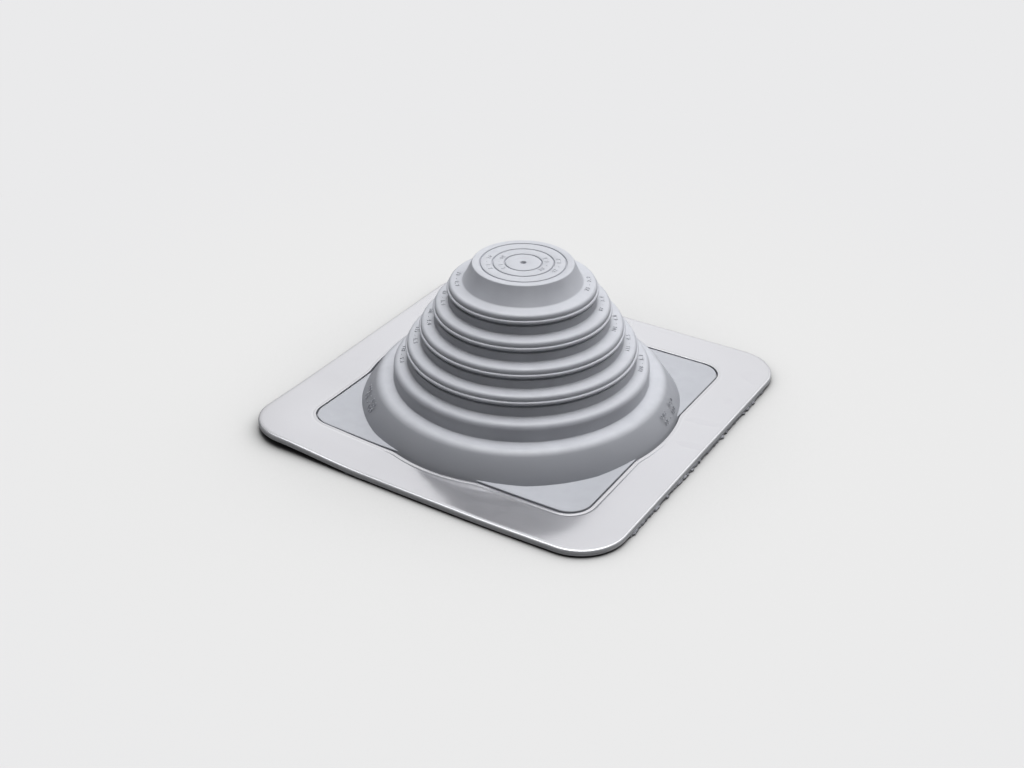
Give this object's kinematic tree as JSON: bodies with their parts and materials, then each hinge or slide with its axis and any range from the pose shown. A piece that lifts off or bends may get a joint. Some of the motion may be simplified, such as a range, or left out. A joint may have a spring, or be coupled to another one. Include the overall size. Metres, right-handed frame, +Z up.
{
  "type": "pipe flashing boot",
  "caption": "Stepped conical rubber pipe boot with closed cap and square flange in a soft aluminium edge frame, for sealing a pipe through a roof sheet.",
  "frame": {"origin": "middle of the underside, where the boot's axis meets the plane of the sealing ribs", "axes": "+Z up the boot's axis to the cap, +X and +Y square to the sides of the flange"},
  "size_m": [0.2032, 0.2032, 0.0782],
  "materials": {
    "grey_rubber": "matt moulded grey rubber",
    "soft_aluminium": "bright rolled soft aluminium sheet"
  },
  "bodies": {
    "root": {"rubber_boot": "grey_rubber", "aluminium_frame": "soft_aluminium"}
  },
  "joints": []
}
